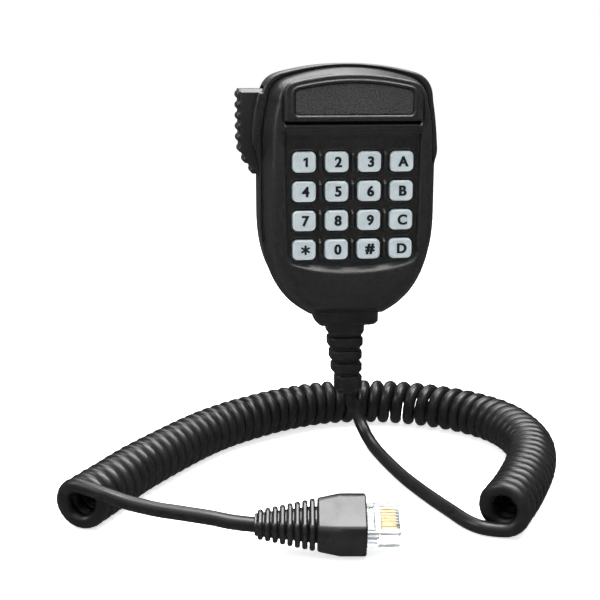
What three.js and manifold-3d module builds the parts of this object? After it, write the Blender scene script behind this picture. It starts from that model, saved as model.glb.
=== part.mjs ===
// Hand microphone for a mobile amateur radio: keypad case, talk lever, hanger button,
// strain relief, curly cord and modular plug.
// Millimetres, +Z up. The keypad faces -Y and the origin is the centre of the hanger
// button's flat outer face, on the back of the case.
import * as THREE from 'three';
import { mergeVertices } from 'three/addons/utils/BufferGeometryUtils.js';
import Module from 'manifold-3d';

const wasm = await Module();
wasm.setup();

// ---- driving dimensions ----
const CASE = {
  halfWidth: 31.4, top: 35, bottom: -53, chin: 13, jaw: 26.4, jawHeight: -46.5,
  wall: 2, edge: 1.2, rearEdge: 2.2,
};
// The front case steps in behind its face: how far at the sides and the top, and the draft.
const FACE = { narrow: 1.2, lower: 1.4, draft: 2.2, run: 11 };
const Y = {
  button: 0, collar: -2.6, rear: -5, seam: -20, shoulder: -23, bezel: -34, brow: -36,
  recess: -32.2, inside: -30.2, keyFront: -34.2, keyFlange: -29.9, keyBack: -29.1,
};
const SEAM_GAP = 0.05;
const FIT = 0.3;

const KEY = { width: 8.1, height: 7, radius: 1.8, pitchX: 11.35, pitchZ: 10.12, topZ: 1.7, gap: 0.35 };
const KEY_NAMES = [
  ['1', '2', '3', 'a'],
  ['4', '5', '6', 'b'],
  ['7', '8', '9', 'c'],
  ['star', '0', 'hash', 'd'],
];

const BROW = { halfWidth: 23.8, bottom: 15.5, shoulder: 27.9, crown: 31.4 };
const PLATE = { halfWidth: 20.3, bottom: 17.7, shoulder: 25.6, crown: 28.2, sunk: 0.65 };
const RECESS = { halfWidth: 23.8, top: 12.6, side: -33.6, bottom: -37.2 };

const POCKET = { floor: -26, lining: 1.4, top: 26.9, bottom: -4.6, rear: -8, front: -20.4 };
const CHEEK = { reach: 33.9, high: 25, widest: 9.5, low: 2.5 };
const PIVOT = { x: -28.6, z: -1.5, pin: 1.1, lug: 2.2 };
const LEVER = {
  inner: -29.6, outer: -39, top: 26.2, bend: 8, foot: -4, taper: 6.3,
  ridges: 8, ridgePitch: 3.7, grooveDeep: 0.9, grooveHigh: 1.1,
};
const PLUNGER = { y: -14.2, z: 16.5, radius: 1.3, outer: -29.3, inner: -24.9 };

const SCREW_PLACES = [[-18.5, 26.6], [20, 26], [-13.5, -42.5], [13.5, -42.5]];
const SCREW = { shank: 1.35, head: 2.7, hole: 1.7, pilot: 1.45, post: 4.1, frontPost: 3.1, sunk: 1.7 };
const BOARD_SCREW_HEIGHTS = [10.8, -40];
const SLOT = { halfWidth: 16, low: 13.6, high: 14.8 };

const CAPSULE = { z: 22, radius: 4.8 };
const RELIEF = { y: -17, top: -53.3, collarEnd: -58.8, neckEnd: -63.6, end: -84.9, endX: 2.4 };

const CORD = { radius: 2.2, coilRadius: 8.5 };
const TABLE_Z = -105;
const PLUG = { start: [-41.75, -110.2, -96.1], yaw: -7.4, roll: 29 };
const BOOT = { neck: 17.2, boxStart: 18.2, length: 32.4 };
const HOUSING = { width: 11.68, height: 6.5, start: 21, end: 42 };
const CONTACTS = { count: 8, pitch: 1.02, thickness: 0.35 };

// ---- materials ----
function plastic(color, roughness) {
  return new THREE.MeshStandardMaterial({ color, roughness, metalness: 0 });
}

function metal(color, roughness) {
  return new THREE.MeshStandardMaterial({ color, roughness, metalness: 1 });
}

const MATERIALS = {
  caseBlack: plastic(0x1c1c1d, 0.55),
  rubberBlack: plastic(0x161617, 0.6),
  keyGrey: plastic(0xd3dce0, 0.5),
  matGrey: plastic(0x8b9095, 0.8),
  cordBlack: plastic(0x151516, 0.35),
  bootBlack: plastic(0x121213, 0.2),
  clear: new THREE.MeshStandardMaterial({
    color: 0xe6ecee, roughness: 0.1, transparent: true, opacity: 0.4,
  }),
  ribbon: plastic(0xe8e8e4, 0.5),
  board: plastic(0x1f5a34, 0.5),
  chip: plastic(0x202124, 0.5),
  nylon: plastic(0xe3e0d4, 0.5),
  steel: metal(0xb9bcbf, 0.35),
  gold: metal(0xd9b25c, 0.25),
  film: plastic(0xbfc4c8, 0.3),
};

// ---- solids ----
function solidOf(geometry) {
  const bare = geometry.index ? geometry.toNonIndexed() : geometry.clone();
  bare.deleteAttribute('normal');
  bare.deleteAttribute('uv');
  const merged = mergeVertices(bare, 1e-4);
  const mesh = new wasm.Mesh({
    numProp: 3,
    vertProperties: new Float32Array(merged.attributes.position.array),
    triVerts: new Uint32Array(merged.index.array),
  });
  mesh.merge();
  return new wasm.Manifold(mesh);
}

function geometryOf(solid) {
  const mesh = solid.getMesh();
  const geometry = new THREE.BufferGeometry();
  geometry.setAttribute('position', new THREE.BufferAttribute(new Float32Array(mesh.vertProperties), 3));
  geometry.setIndex(new THREE.BufferAttribute(new Uint32Array(mesh.triVerts), 1));
  geometry.computeVertexNormals();
  return geometry;
}

function joined(...solids) {
  return solids.reduce((whole, piece) => whole.add(piece));
}

function box(low, high) {
  const size = low.map((value, axis) => high[axis] - value);
  const geometry = new THREE.BoxGeometry(...size);
  geometry.translate(...low.map((value, axis) => (value + high[axis]) / 2));
  return solidOf(geometry);
}

// A rod along one axis: 'x', 'y' or 'z', from one coordinate to another.
function rod(axis, radius, from, to, place, sides = 20) {
  const geometry = new THREE.CylinderGeometry(radius, radius, Math.abs(to - from), sides);
  const middle = (from + to) / 2;
  if (axis === 'x') geometry.rotateZ(Math.PI / 2).translate(middle, place[0], place[1]);
  if (axis === 'y') geometry.translate(place[0], middle, place[1]);
  if (axis === 'z') geometry.rotateX(Math.PI / 2).translate(place[0], place[1], middle);
  return solidOf(geometry);
}

// An x-z outline made solid between two depths, with an optional rounded edge at both ends.
function prism(shape, back, front, edge = 0, steps = 2, curveSegments = 6) {
  const geometry = new THREE.ExtrudeGeometry(shape, {
    depth: back - front - 2 * edge,
    bevelEnabled: edge > 0,
    bevelThickness: edge,
    bevelSize: edge,
    bevelOffset: -edge,
    bevelSegments: steps,
    curveSegments,
  });
  geometry.rotateX(Math.PI / 2);
  geometry.translate(0, back - edge, 0);
  return solidOf(geometry);
}

function roundedRect(width, height, radius, cx = 0, cz = 0) {
  const right = cx + width / 2 - radius;
  const left = cx - width / 2 + radius;
  const high = cz + height / 2 - radius;
  const low = cz - height / 2 + radius;
  const shape = new THREE.Shape();
  shape.absarc(right, low, radius, -Math.PI / 2, 0);
  shape.absarc(right, high, radius, 0, Math.PI / 2);
  shape.absarc(left, high, radius, Math.PI / 2, Math.PI);
  shape.absarc(left, low, radius, Math.PI, Math.PI * 1.5);
  shape.closePath();
  return shape;
}

// A rounded-rectangle slab lying across +Z, such as one ring of the strain relief.
function slab(width, depth, radius, high, low, cx, cy) {
  const geometry = new THREE.ExtrudeGeometry(roundedRect(width, depth, radius), {
    depth: high - low, bevelEnabled: false, curveSegments: 2,
  });
  geometry.translate(cx, cy, low);
  return solidOf(geometry);
}

function tubeAlong(points, radius, steps, sides) {
  const section = new THREE.Shape();
  for (let side = 0; side < sides; side += 1) {
    const angle = (side / sides) * Math.PI * 2;
    const x = radius * Math.cos(angle);
    const y = radius * Math.sin(angle);
    if (side === 0) section.moveTo(x, y);
    else section.lineTo(x, y);
  }
  section.closePath();
  const places = points.map((point) => new THREE.Vector3(...point));
  const route = new THREE.CatmullRomCurve3(places, false, 'centripetal');
  return new THREE.ExtrudeGeometry(section, { steps, extrudePath: route });
}

const assembly = new THREE.Group();

function addPart(name, geometry, material, parent = assembly) {
  const mesh = new THREE.Mesh(geometry, material);
  mesh.name = name;
  parent.add(mesh);
  return mesh;
}

// ---- the case ----
// Front view of the case, drawn smaller all round by the inset: a low crown, round
// shoulders that swell to just above the middle, straight sides and a long taper to the chin.
// A narrowed outline loses the swell and draws in most at the shoulders.
function caseOutline(inset, narrow = 0, lower = 0) {
  const side = CASE.halfWidth - inset - narrow;
  const swell = 1 - narrow * 1.2;
  const shoulder = side - 0.9 - narrow * 1.2;
  const corner = 23.5 - narrow * 2.3;
  const top = CASE.top - inset - lower;
  const bottom = CASE.bottom + inset;
  const chin = CASE.chin - inset * 0.4;
  const jaw = CASE.jaw - inset * 0.8 - narrow * 0.8;
  const jawHeight = CASE.jawHeight + inset * 0.6;
  const shape = new THREE.Shape();
  shape.moveTo(-chin, bottom);
  shape.lineTo(chin, bottom);
  shape.bezierCurveTo(jaw, jawHeight, side, -34, side, -18);
  shape.lineTo(side, -0.5);
  shape.lineTo(side + swell, 3.5);
  shape.quadraticCurveTo(side + swell * 0.4, 15, shoulder, 22);
  shape.quadraticCurveTo(shoulder - 0.2, top - 5, corner, top - 3.1);
  shape.quadraticCurveTo(0, top + 3.1, -corner, top - 3.1);
  shape.quadraticCurveTo(0.2 - shoulder, top - 5, -shoulder, 22);
  shape.quadraticCurveTo(-(side + swell * 0.4), 15, -(side + swell), 3.5);
  shape.lineTo(-side, -0.5);
  shape.lineTo(-side, -18);
  shape.bezierCurveTo(-side, -34, -jaw, jawHeight, -chin, bottom);
  return shape;
}

// The narrower front of the case, or its hollow, with drafted sides from the seam to the face.
function faceBlock(inset, front) {
  const straight = 2;
  const back = front + 2 * FACE.run + straight;
  const geometry = new THREE.ExtrudeGeometry(caseOutline(inset, FACE.narrow, FACE.lower), {
    depth: straight,
    bevelEnabled: true,
    bevelThickness: FACE.run,
    bevelSize: FACE.draft,
    bevelOffset: -FACE.draft,
    bevelSegments: 1,
    curveSegments: 8,
  });
  geometry.rotateX(Math.PI / 2);
  geometry.translate(0, back - FACE.run, 0);
  return solidOf(geometry);
}

// A swell on the left side of the case, which covers the talk lever's inner edge.
function cheek() {
  const { reach, high, widest, low } = CHEEK;
  const inner = -CASE.halfWidth + 3;
  const shape = new THREE.Shape();
  shape.moveTo(inner, low - 1);
  shape.lineTo(-CASE.halfWidth, low);
  shape.lineTo(-reach, widest - 2);
  shape.quadraticCurveTo(-reach, widest + 8, -CASE.halfWidth, high);
  shape.lineTo(inner, high);
  shape.closePath();
  return prism(shape, Y.seam + 0.5, Y.shoulder, 0.5, 1, 6);
}

// A straight-sided outline with an arched top, used by the brow and the name plate.
function archOutline(dims, radius) {
  const { halfWidth, bottom, shoulder, crown } = dims;
  const springing = shoulder + radius * 0.3;
  const shape = new THREE.Shape();
  shape.moveTo(-halfWidth + radius, bottom);
  shape.lineTo(halfWidth - radius, bottom);
  shape.quadraticCurveTo(halfWidth, bottom, halfWidth, bottom + radius);
  shape.lineTo(halfWidth, shoulder - radius);
  shape.quadraticCurveTo(halfWidth, shoulder, halfWidth - radius, springing);
  shape.quadraticCurveTo(0, 2 * crown - springing, -halfWidth + radius, springing);
  shape.quadraticCurveTo(-halfWidth, shoulder, -halfWidth, shoulder - radius);
  shape.lineTo(-halfWidth, bottom + radius);
  shape.quadraticCurveTo(-halfWidth, bottom, -halfWidth + radius, bottom);
  return shape;
}

function recessOutline() {
  const { halfWidth, top, side, bottom } = RECESS;
  const turn = halfWidth - 3.6;
  const arcEnd = side - 0.5;
  const shape = new THREE.Shape();
  shape.moveTo(-halfWidth, side + 12);
  shape.quadraticCurveTo(-halfWidth, side + 1, -turn, arcEnd);
  shape.quadraticCurveTo(0, 2 * bottom - arcEnd, turn, arcEnd);
  shape.quadraticCurveTo(halfWidth, side + 1, halfWidth, side + 12);
  shape.lineTo(halfWidth, top);
  shape.lineTo(-halfWidth, top);
  shape.closePath();
  return shape;
}

function keyCentre(row, column) {
  return [(column - 1.5) * KEY.pitchX, KEY.topZ - row * KEY.pitchZ];
}

function keyWindows() {
  const cuts = [];
  const grow = 2 * KEY.gap;
  for (let row = 0; row < 4; row += 1) {
    for (let column = 0; column < 4; column += 1) {
      const [x, z] = keyCentre(row, column);
      const window = roundedRect(KEY.width + grow, KEY.height + grow, KEY.radius + KEY.gap, x, z);
      cuts.push(prism(window, Y.inside + 1, Y.bezel - 1, 0, 1, 2));
    }
  }
  return joined(...cuts);
}

// The talk lever's pocket: its lining, and the space cut out of the side of the case.
function pocketLining() {
  return box(
    [-CASE.halfWidth - 2, POCKET.front - POCKET.lining, POCKET.bottom - POCKET.lining],
    [POCKET.floor + POCKET.lining, POCKET.rear + POCKET.lining, POCKET.top + POCKET.lining],
  );
}

function pocketCut() {
  const space = box(
    [-CASE.halfWidth - 12, POCKET.front, POCKET.bottom],
    [POCKET.floor, POCKET.rear, POCKET.top],
  );
  const pivot = [PIVOT.x, PIVOT.z];
  const plunger = [PLUNGER.y, PLUNGER.z];
  const pin = rod('y', PIVOT.pin + 0.15, POCKET.rear + 1.2, POCKET.front - 1.2, pivot, 16);
  const window = rod('x', PLUNGER.radius + 0.4, POCKET.floor - 1, POCKET.floor + 4, plunger, 16);
  return joined(space, pin, window);
}

function reliefCut() {
  return slab(9.6, 7.6, 2.5, -49, -60, 0, RELIEF.y);
}

// A wider copy of the name plate's outline, which leaves it a hair of play in its seat.
function plateSeat() {
  const play = 0.15;
  return {
    ...PLATE,
    halfWidth: PLATE.halfWidth + play,
    bottom: PLATE.bottom - play,
    crown: PLATE.crown + play,
  };
}

function frontCase() {
  const half = box([-60, -60, -80], [60, Y.seam - SEAM_GAP, 60]);
  const rim = prism(caseOutline(0), Y.seam + 8, Y.shoulder, CASE.edge, 2, 8);
  const outer = joined(rim, faceBlock(0, Y.bezel), cheek());
  let shell = outer;
  shell = shell.add(prism(archOutline(BROW, 3), Y.bezel + 3, Y.brow, 0.9, 2, 5));
  shell = shell.subtract(faceBlock(CASE.wall, Y.inside));
  shell = shell.add(pocketLining().intersect(outer));
  for (const [x, z] of SCREW_PLACES) {
    shell = shell.add(rod('y', SCREW.frontPost, Y.inside - 0.5, Y.seam - 1, [x, z], 16));
    shell = shell.subtract(rod('y', SCREW.pilot, -27, -11, [x, z], 12));
  }
  shell = shell.subtract(prism(archOutline(plateSeat(), 2), Y.brow + PLATE.sunk, Y.brow - 2, 0, 1, 5));
  shell = shell.subtract(prism(recessOutline(), Y.recess, Y.brow - 3, 0, 1, 10));
  shell = shell.subtract(keyWindows());
  const slot = box([-SLOT.halfWidth, Y.brow - 1, SLOT.low], [SLOT.halfWidth, Y.inside + 0.5, SLOT.high]);
  shell = shell.subtract(slot).subtract(pocketCut()).subtract(reliefCut()).intersect(half);
  // The screw posts stand on past the seam, into the rear case.
  const postEnds = SCREW_PLACES.map(([x, z]) => {
    const post = rod('y', SCREW.frontPost, Y.seam - 1, -12.1, [x, z], 16);
    return post.subtract(rod('y', SCREW.pilot, Y.seam - 2, -11, [x, z], 12));
  });
  const within = prism(caseOutline(CASE.wall + FIT), 0, -40, 0, 1, 6).subtract(pocketLining());
  return shell.add(joined(...postEnds).intersect(within));
}

function rearCase() {
  const half = box([-60, Y.seam + SEAM_GAP, -80], [60, 10, 60]);
  const outer = prism(caseOutline(0), Y.rear, Y.seam - 8, CASE.rearEdge, 3, 8);
  let shell = outer.subtract(prism(caseOutline(CASE.wall), Y.rear - CASE.wall, Y.seam - 9, 0, 1, 6));
  shell = shell.add(pocketLining().intersect(outer));
  for (const [x, z] of SCREW_PLACES) {
    shell = shell.add(rod('y', SCREW.post, Y.rear - 1, -12, [x, z], 16));
    shell = shell.subtract(rod('y', SCREW.hole, Y.rear + 1, -13, [x, z], 14));
    shell = shell.subtract(rod('y', SCREW.head + 0.2, Y.rear + 1, Y.rear - SCREW.sunk, [x, z], 18));
  }
  shell = shell.subtract(rod('y', 2.1, Y.rear + 1, Y.rear - 3, [0, 0], 18));
  return shell.subtract(pocketCut()).subtract(reliefCut()).intersect(half);
}

function buildCase() {
  addPart('front_case', geometryOf(frontCase()), MATERIALS.caseBlack);
  addPart('rear_case', geometryOf(rearCase()), MATERIALS.caseBlack);
  const plate = prism(archOutline(PLATE, 2), Y.brow + PLATE.sunk - 0.05, Y.brow, 0, 1, 5);
  addPart('name_plate', geometryOf(plate), MATERIALS.caseBlack);
  SCREW_PLACES.forEach(([x, z], index) => {
    const headFace = Y.rear - 0.3;
    const head = rod('y', SCREW.head, headFace, Y.rear - SCREW.sunk + 0.05, [x, z], 18);
    const shank = rod('y', SCREW.shank, Y.rear - SCREW.sunk + 0.1, -24, [x, z], 12);
    const cross = joined(
      box([x - 1.5, headFace - 0.7, z - 0.3], [x + 1.5, headFace + 1, z + 0.3]),
      box([x - 0.3, headFace - 0.7, z - 1.5], [x + 0.3, headFace + 1, z + 1.5]),
    );
    addPart(`case_screw_${index + 1}`, geometryOf(head.add(shank).subtract(cross)), MATERIALS.steel);
  });
}

// ---- the keypad ----
function keyCap(row, column) {
  const [x, z] = keyCentre(row, column);
  const face = roundedRect(KEY.width, KEY.height, KEY.radius, x, z);
  const foot = roundedRect(KEY.width + 1, KEY.height + 1, 1, x, z);
  const cap = prism(face, Y.keyFlange + 0.5, Y.keyFront, 0.5, 1, 2);
  return cap.add(prism(foot, Y.keyBack, Y.keyFlange, 0, 1, 1));
}

function boardOutline(inset, top, low) {
  const outline = prism(caseOutline(inset, FACE.narrow), 0, -40, 0, 1, 4);
  return outline.intersect(box([-24, -40, low], [26, 0, top]));
}

function buildKeypad() {
  KEY_NAMES.forEach((names, row) => {
    names.forEach((name, column) => {
      addPart(`key_${name}`, geometryOf(keyCap(row, column)), MATERIALS.keyGrey);
    });
  });
  const layer = (outline, back, front) => outline.intersect(box([-60, front, -80], [60, back, 60]));
  const posts = SCREW_PLACES.map((place) => rod('y', SCREW.post + 0.2, -40, 0, place, 14));
  const screwClear = joined(...posts);
  const domes = boardOutline(5, 8.5, -37.6).subtract(screwClear);
  addPart('keypad_mat', geometryOf(layer(domes, -26.9, -27.9)), MATERIALS.matGrey);
  addPart('dome_sheet', geometryOf(layer(domes, -26.3, -26.6)), MATERIALS.film);
  const holes = joined(...BOARD_SCREW_HEIGHTS.map((z) => rod('y', 1.2, -30, -20, [0, z], 12)));
  const board = layer(boardOutline(4.8, 13.5, -43).subtract(screwClear), -24.4, -26).subtract(holes);
  addPart('keypad_board', geometryOf(board), MATERIALS.board);
  addPart('tone_encoder_chip', geometryOf(box([-6, -24.3, -14], [4, -22.8, -4])), MATERIALS.chip);
  addPart('board_connector', geometryOf(box([5, -24.3, -31.8], [13, -20.4, -27])), MATERIALS.nylon);
  BOARD_SCREW_HEIGHTS.forEach((z, index) => {
    const head = rod('y', 1.9, -23.1, -24.3, [0, z], 16);
    const shank = rod('y', 1, -24, -29.8, [0, z], 12);
    addPart(`board_screw_${index + 1}`, geometryOf(head.add(shank)), MATERIALS.steel);
  });
}

// ---- the microphone capsule ----
function buildCapsule() {
  const place = [0, CAPSULE.z];
  const can = rod('y', CAPSULE.radius, -24.6, -29.2, place, 24);
  const cup = rod('y', CAPSULE.radius + 1.6, -24.2, -29.9, place, 24)
    .subtract(rod('y', CAPSULE.radius + 0.1, -23, -29.3, place, 24))
    .subtract(rod('y', 1.5, -23, -31, place, 12));
  addPart('microphone_capsule', geometryOf(can), MATERIALS.steel);
  addPart('capsule_holder', geometryOf(cup), MATERIALS.rubberBlack);
}

// ---- the talk lever ----
// The lever's outer edge is straight, then curves in towards the pivot.
function leverEdge(z) {
  const share = Math.max(0, (LEVER.bend - z) / (LEVER.bend - LEVER.foot));
  return LEVER.outer + LEVER.taper * share ** 1.7;
}

function leverOutline() {
  const { inner, top, bend, foot } = LEVER;
  const curve = [1, 0.8, 0.6, 0.4, 0.2, 0].map((share) => foot + share * (bend - foot));
  const shape = new THREE.Shape();
  shape.moveTo(inner, PIVOT.z + 2);
  shape.lineTo(inner, top);
  shape.lineTo(leverEdge(top), top);
  curve.forEach((z) => shape.lineTo(leverEdge(z), z));
  shape.lineTo(PIVOT.x, foot);
  shape.closePath();
  return shape;
}

function buildLever() {
  const back = POCKET.rear - 0.4;
  const front = POCKET.front + 0.4;
  const pivot = [PIVOT.x, PIVOT.z];
  let lever = prism(leverOutline(), back, front, 0.6, 2, 5);
  lever = lever.add(rod('y', PIVOT.lug, back - 0.8, front + 0.8, pivot, 20));
  for (let groove = 1; groove < LEVER.ridges; groove += 1) {
    const z = LEVER.top - 0.6 - groove * LEVER.ridgePitch;
    const deep = leverEdge(z) + LEVER.grooveDeep;
    const half = LEVER.grooveHigh / 2;
    lever = lever.subtract(box([LEVER.outer - 2, front - 1, z - half], [deep, back + 1, z + half]));
  }
  lever = lever.subtract(rod('y', PIVOT.pin + 0.3, back + 1, front - 1, pivot, 18));
  addPart('ptt_lever', geometryOf(lever), MATERIALS.rubberBlack);
  const pin = rod('y', PIVOT.pin, POCKET.rear + 1.1, POCKET.front - 1.1, pivot, 16);
  addPart('ptt_pivot_pin', geometryOf(pin), MATERIALS.steel);
  const stem = [PLUNGER.y, PLUNGER.z];
  const plunger = rod('x', PLUNGER.radius, PLUNGER.outer, PLUNGER.inner, stem, 16);
  addPart('ptt_switch_plunger', geometryOf(plunger), MATERIALS.nylon);
  const block = box([-23.2, PLUNGER.y - 3.2, 13], [-17.5, PLUNGER.y + 3.2, 20]);
  addPart('ptt_switch', geometryOf(block), MATERIALS.chip);
}

// ---- the hanger ----
// A profile of [radius, y] pairs turned about the y axis.
function turned(profile, segments) {
  const points = profile.map(([radius, y]) => new THREE.Vector2(radius, y));
  return solidOf(new THREE.LatheGeometry(points, segments));
}

function buildHanger() {
  const foot = Y.rear + 0.05;
  const head = Y.collar - 0.05;
  const collar = turned([[2.1, foot], [5.6, foot], [5, head], [2.1, head], [2.1, foot]], 36);
  addPart('hanger_collar', geometryOf(collar), MATERIALS.caseBlack);
  const rim = 0.8;
  const disc = turned([
    [0, Y.collar], [7.4, Y.collar], [8.2, Y.collar + rim],
    [8.2, Y.button - rim], [7.4, Y.button], [0, Y.button],
  ], 40);
  const button = disc.subtract(rod('y', 2, -4, -0.9, [0, 0], 16));
  addPart('hanger_button', geometryOf(button), MATERIALS.caseBlack);
  const screwHead = rod('y', 3.6, Y.rear - CASE.wall - 0.1, Y.rear - CASE.wall - 2, [0, 0], 20);
  const shank = rod('y', 1.9, Y.rear - CASE.wall - 1, -1.1, [0, 0], 16);
  addPart('hanger_screw', geometryOf(screwHead.add(shank)), MATERIALS.steel);
}

// ---- the strain relief and the cord's anchorage ----
// The relief bends a little to the right as it goes down.
function reliefRings() {
  return [
    { width: 13.1, depth: 11.4, high: -63.8, low: -67.8, x: 0.35 },
    { width: 12.1, depth: 10.8, high: -68.8, low: -72.8, x: 0.6 },
    { width: 11.4, depth: 10.2, high: -73.8, low: -77.6, x: 1 },
    { width: 10.2, depth: 9.4, high: -78.7, low: -84.2, x: 1.7 },
  ];
}

function buildAnchorage() {
  const { y, top, collarEnd, neckEnd, end, endX } = RELIEF;
  const stub = slab(9, 7, 2.2, -49.4, top - 2, 0, y);
  const collar = slab(24, 13, 4.5, top, collarEnd, 0.4, y);
  const neck = slab(13.8, 11.6, 4, collarEnd + 0.4, neckEnd, 0.2, y);
  let relief = joined(stub, collar, neck);
  for (const ring of reliefRings()) {
    relief = relief.add(slab(ring.width, ring.depth, 3.6, ring.high, ring.low, ring.x, y));
    const core = slab(ring.width - 2.6, ring.depth - 2.2, 3, ring.high + 1.1, ring.low - 1, ring.x, y);
    relief = relief.add(core);
  }
  relief = relief.add(slab(8, 7.6, 3.4, reliefRings()[3].low + 0.4, end, endX, y));
  addPart('strain_relief', geometryOf(relief), MATERIALS.rubberBlack);
  const plateBlank = box([-8.5, -22.5, -48.8], [8.5, -11.5, -45.8]);
  const clamp = plateBlank.subtract(box([-3, -19.8, -52], [3, -14.2, -40]));
  addPart('cord_clamp', geometryOf(clamp), MATERIALS.steel);
  const harness = [[0, -17, -49], [0, -17, -43], [2.5, -18, -39], [6.5, -20.5, -37], [9, -22.2, -33.8]];
  addPart('wire_harness', tubeAlong(harness, 1.5, 14, 8), MATERIALS.ribbon);
}

// ---- the cord ----
// The routes of the cord's three stretches. The middle one is the centre of the coiled
// stretch, whose own solid is a plain tube of the coil's outer diameter.
const LEAD_ROUTE = [
  [2.4, -17, -85.8], [2.9, -17.1, -88.8], [4.7, -17.8, -92.4], [6.3, -20.4, -97.2], [7.9, -25.6, -100.8],
  [9.4, -34, -102.6], [11.1, -48, -102.7], [13.6, -63.1, -102.7], [17.4, -78.6, -102.7],
  [21.3, -91.5, -102.7], [25, -103.5, -102.7], [27.5, -109.5, -102.7], [31.5, -113, -102.6],
  [35.5, -113.6, -102],
];
const COIL_ROUTE = [
  [33.2, -108.6], [44.4, -90.8], [55.3, -69.5], [60.3, -50.9], [58.7, -30.6], [49.9, -14.8],
  [35.9, -3], [20, 4], [4.6, 6], [-9, 4], [-27.5, -4.8], [-50.3, -23.3], [-73.3, -53.8],
  [-85.7, -74.7], [-93.2, -87.6],
].map(([x, y]) => [x, y, TABLE_Z + CORD.coilRadius + 0.05]);
const TAIL_ROUTE = [
  [-97, -92.3, -90.6], [-92, -94, -91.2], [-86, -95.6, -92.2], [-78, -98, -93.4], [-70, -101, -94.2],
  [-62, -104, -94.5], [-54, -107, -94.9], [-48, -109.2, -95.5], [-42.35, -110.1, -96.05],
];

function buildCord() {
  addPart('cord_lead', tubeAlong(LEAD_ROUTE, CORD.radius, 26, 9), MATERIALS.cordBlack);
  addPart('cord_coil', tubeAlong(COIL_ROUTE, CORD.coilRadius, 30, 12), MATERIALS.cordBlack);
  addPart('cord_tail', tubeAlong(TAIL_ROUTE, CORD.radius, 18, 9), MATERIALS.cordBlack);
}

// ---- the plug: local +X from the cord to the nose, contacts up ----
function crossSlab(width, height, radius, from, to) {
  const geometry = new THREE.ExtrudeGeometry(roundedRect(width, height, radius), {
    depth: to - from, bevelEnabled: false, curveSegments: 2,
  });
  geometry.rotateX(Math.PI / 2).rotateZ(Math.PI / 2).translate(from, 0, 0);
  return solidOf(geometry);
}

function bootSolid() {
  const rings = 8;
  let boot = crossSlab(5.6, 5.4, 2.2, 0, 19);
  for (let index = 0; index < rings; index += 1) {
    const grow = index / (rings - 1);
    const start = 1 + index * 2.15;
    boot = boot.add(crossSlab(8.2 + 4.8 * grow, 7.2 + 3.8 * grow, 2.2, start, start + 1.6));
    boot = boot.add(crossSlab(5.6 + 4.2 * grow, 5.2 + 3 * grow, 2, start, start + 2.2));
  }
  const flare = 3;
  for (let index = 0; index < flare; index += 1) {
    const start = BOOT.boxStart + index * 1.6;
    boot = boot.add(crossSlab(13.8 + index, 11 + 0.9 * index, 2.4, start, BOOT.length));
  }
  const mouth = HOUSING.start - FIT;
  const socket = crossSlab(HOUSING.width + 2 * FIT, HOUSING.height + 2 * FIT, 0.6, mouth, 40);
  const latchWay = box([mouth, -3.6, -7.2], [40, 3.6, -3]);
  return boot.subtract(socket).subtract(latchWay);
}

function contactY(index) {
  return (index - (CONTACTS.count - 1) / 2) * CONTACTS.pitch;
}

function housingSolid() {
  const top = HOUSING.height / 2;
  let housing = crossSlab(HOUSING.width, HOUSING.height, 0.4, HOUSING.start, HOUSING.end);
  for (let index = 0; index < CONTACTS.count; index += 1) {
    const y = contactY(index);
    housing = housing.subtract(box([36.4, y - 0.3, top - 2.2], [HOUSING.end + 1, y + 0.3, top + 1]));
  }
  return housing.subtract(box([20, -4.2, -0.6], [36.1, 4.2, 0.6]));
}

function buildPlug() {
  const plug = new THREE.Group();
  plug.position.set(...PLUG.start);
  plug.rotation.order = 'ZYX';
  plug.rotation.set(THREE.MathUtils.degToRad(PLUG.roll), 0, THREE.MathUtils.degToRad(PLUG.yaw));
  assembly.add(plug);
  const top = HOUSING.height / 2;
  addPart('plug_boot', geometryOf(bootSolid()), MATERIALS.bootBlack, plug);
  addPart('plug_housing', geometryOf(housingSolid()), MATERIALS.clear, plug);
  const latch = new THREE.Shape();
  latch.moveTo(41.6, -top - 0.3);
  latch.lineTo(41.6, -top - 1.1);
  latch.lineTo(33, -top - 2.7);
  latch.lineTo(23.5, -top - 2.7);
  latch.lineTo(23.5, -top - 1.8);
  latch.lineTo(33, -top - 1.8);
  latch.closePath();
  addPart('plug_latch', geometryOf(prism(latch, 3, -3, 0, 1, 2)), MATERIALS.clear, plug);
  for (let index = 0; index < CONTACTS.count; index += 1) {
    const y = contactY(index);
    const half = CONTACTS.thickness / 2;
    const blade = box([36.7, y - half, top - 1.9], [HOUSING.end - 1.2, y + half, top - 0.1]);
    addPart(`plug_contact_${index + 1}`, geometryOf(blade), MATERIALS.gold, plug);
  }
  const ribbon = box([21.4, -3.9, -0.3], [35.8, 3.9, 0.3]);
  addPart('plug_wire_ribbon', geometryOf(ribbon), MATERIALS.ribbon, plug);
}

buildCase();
buildKeypad();
buildCapsule();
buildLever();
buildHanger();
buildAnchorage();
buildCord();
buildPlug();

export default assembly;
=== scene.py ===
"""Looks for the hand microphone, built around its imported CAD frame. Sizes below are in
millimetres unless a name ends in _M; MM turns them into Blender's metres."""

import math

import bmesh
import bpy
import numpy as np
import openvdb
from mathutils import Matrix, Vector


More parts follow.
